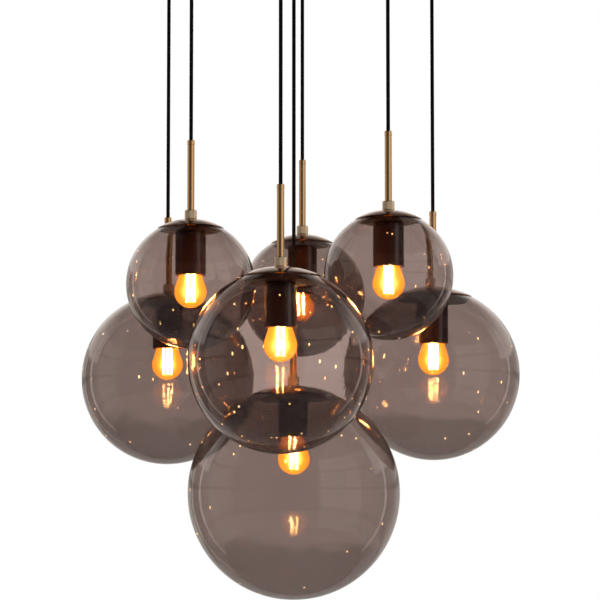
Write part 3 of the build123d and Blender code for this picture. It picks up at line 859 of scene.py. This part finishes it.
def card_material():
    """Bright and dark cards for mirrored rays; nothing for the rays that only pass through."""
    material = bpy.data.materials.new("studio_cards")
    material.use_nodes = True
    nodes, link = material.node_tree.nodes, material.node_tree.links.new
    nodes.clear()

    def maths(operation, first, second=None, value=0.0):
        node = nodes.new("ShaderNodeMath")
        node.operation = operation
        link(first, node.inputs[0])
        if second is not None:
            link(second, node.inputs[1])
        else:
            node.inputs[1].default_value = value
        return node.outputs[0]

    place, split = nodes.new("ShaderNodeTexCoord"), nodes.new("ShaderNodeSeparateXYZ")
    centre, away = nodes.new("ShaderNodeMapping"), nodes.new("ShaderNodeVectorMath")
    centre.inputs["Rotation"].default_value = (0, 0, pi)
    away.operation = "NORMALIZE"
    link(place.outputs["Object"], centre.inputs["Vector"])
    link(centre.outputs["Vector"], away.inputs[0])
    link(away.outputs[0], split.inputs[0])
    turn = maths("ARCTAN2", split.outputs["X"], split.outputs["Y"])
    share = maths("ADD", maths("MULTIPLY", turn, value=-1 / (2 * pi)), value=0.5)
    height = maths("ADD", maths("MULTIPLY", split.outputs["Z"], value=0.5), value=0.5)

    def ramp_of(stops, fac, low, high, tint):
        ramp = nodes.new("ShaderNodeValToRGB")
        elements = ramp.color_ramp.elements
        while len(elements) < len(stops):
            elements.new(0.5)
        for element, (position, shade) in zip(elements, stops):
            element.position = (position - low) / (high - low)
            element.color = (shade, shade * tint[0], shade * tint[1], 1.0)
        link(fac, ramp.inputs["Fac"])
        return ramp.outputs["Color"]

    def mixed(kind, first, second):
        node = nodes.new("ShaderNodeMix")
        node.data_type = "RGBA"
        node.blend_type = kind
        node.inputs["Factor"].default_value = 1.0
        link(first, node.inputs["A"])
        link(second, node.inputs["B"])
        return node.outputs["Result"]

    sides = mixed(
        "MULTIPLY", ramp_of(CARDS, share, -180, 180, CARD_TINT),
        ramp_of(HEIGHTS, height, -1, 1, (1.0, 1.0)),
    )
    behind = maths("LESS_THAN", split.outputs["Y"], value=BACKDROP_EDGE)
    rear = mixed("MULTIPLY", ramp_of(BACKDROP, height, -1, 1, BACKDROP_TINT), behind)
    light, clear = nodes.new("ShaderNodeEmission"), nodes.new("ShaderNodeBsdfTransparent")
    link(mixed("LIGHTEN", sides, rear), light.inputs["Color"])
    light.inputs["Strength"].default_value = CARD_GAIN
    ray, shown = nodes.new("ShaderNodeLightPath"), nodes.new("ShaderNodeMixShader")
    mirrored = maths("GREATER_THAN", ray.outputs["Glossy Depth"], value=0.5)
    link(mirrored, shown.inputs[0])
    link(clear.outputs[0], shown.inputs[1])
    link(light.outputs[0], shown.inputs[2])
    link(shown.outputs[0], nodes.new("ShaderNodeOutputMaterial").inputs["Surface"])
    return material


work = bmesh.new()
bmesh.ops.create_uvsphere(work, u_segments=48, v_segments=24, radius=CARD_REACH)
cards = set_on_stage(work, "studio_cards", card_material())
cards.visible_camera = cards.visible_diffuse = cards.visible_shadow = False

SOFT_LAMPS = (  # name, place, watts, width
    ("key", (-2.2, -2.6, 0.9), 70, 1.6),
    ("fill", (2.6, -2.0, 0.2), 40, 1.8),
    ("over", (0, 0.6, 2.4), 60, 2.5),
)
SOFT_AIM = (0, 0, -0.6)
BULB_MIDDLE = 0.024  # below the mouth of the cup
BULB_WATTS = 1.2
BULB_LIT_RADIUS = 0.012
BULB_LIGHT = (1.0, 0.45, 0.12)
WINDOW_PLACE = (2.8, -1.1, -0.3)
WINDOW_AIM = (0, 0, -0.5)
WINDOW_WATTS = 34
WINDOW_WIDTH = 0.5
WINDOW_HEIGHT = 1.6
THROUGH_GLASS = 32  # walls of glass that a ray may cross
MIRRORED = 8
BRIGHTEST = 60.0


def lamp(name, kind, place, watts, size, colour=(1, 1, 1), aim=None):
    """Soft lamp that lights without being mirrored."""
    data = bpy.data.lights.new(name, kind)
    data.energy = watts
    data.color = colour
    if kind == "AREA":
        data.size = size
    else:
        data.shadow_soft_size = size
    lit = bpy.data.objects.new(name, data)
    bpy.context.scene.collection.objects.link(lit)
    lit.location = place
    if aim is not None:
        lit.rotation_euler = (Vector(aim) - Vector(place)).to_track_quat("-Z", "Y").to_euler()
    lit.visible_camera = False
    lit.visible_glossy = False
    lit.visible_transmission = False
    return lit


for name, place, watts, width in SOFT_LAMPS:
    lamp(name, "AREA", place, watts, width, aim=SOFT_AIM)

# The bulbs and one tall window also shine on metal and cups, which mirror them softly.
not_glass = bpy.data.collections.new("not_glass")
cups_only = bpy.data.collections.new("cups_only")
for name in PENDANTS:
    for part in ("flex", "stem_tube", "knurled_nut", "dome", "pan", "cup"):
        not_glass.objects.link(bpy.data.objects[f"{name}_{part}"])
    cups_only.objects.link(bpy.data.objects[f"{name}_cup"])
    place = globe_top[name] + Vector((0, 0, CUP_DEPTH[size_of[name]] - BULB_MIDDLE))
    glow = lamp(f"{name}_glow", "POINT", place, BULB_WATTS, BULB_LIT_RADIUS, BULB_LIGHT)
    glow.visible_glossy = True
    glow.light_linking.receiver_collection = not_glass
window = lamp("window", "AREA", WINDOW_PLACE, WINDOW_WATTS, WINDOW_WIDTH, aim=WINDOW_AIM)
window.data.shape = "RECTANGLE"
window.data.size_y = WINDOW_HEIGHT
window.visible_glossy = True
window.visible_diffuse = False
window.light_linking.receiver_collection = cups_only

bpy.context.scene.cycles.max_bounces = THROUGH_GLASS
bpy.context.scene.cycles.transmission_bounces = THROUGH_GLASS
bpy.context.scene.cycles.glossy_bounces = MIRRORED
bpy.context.scene.cycles.transparent_max_bounces = THROUGH_GLASS
bpy.context.scene.cycles.sample_clamp_indirect = BRIGHTEST
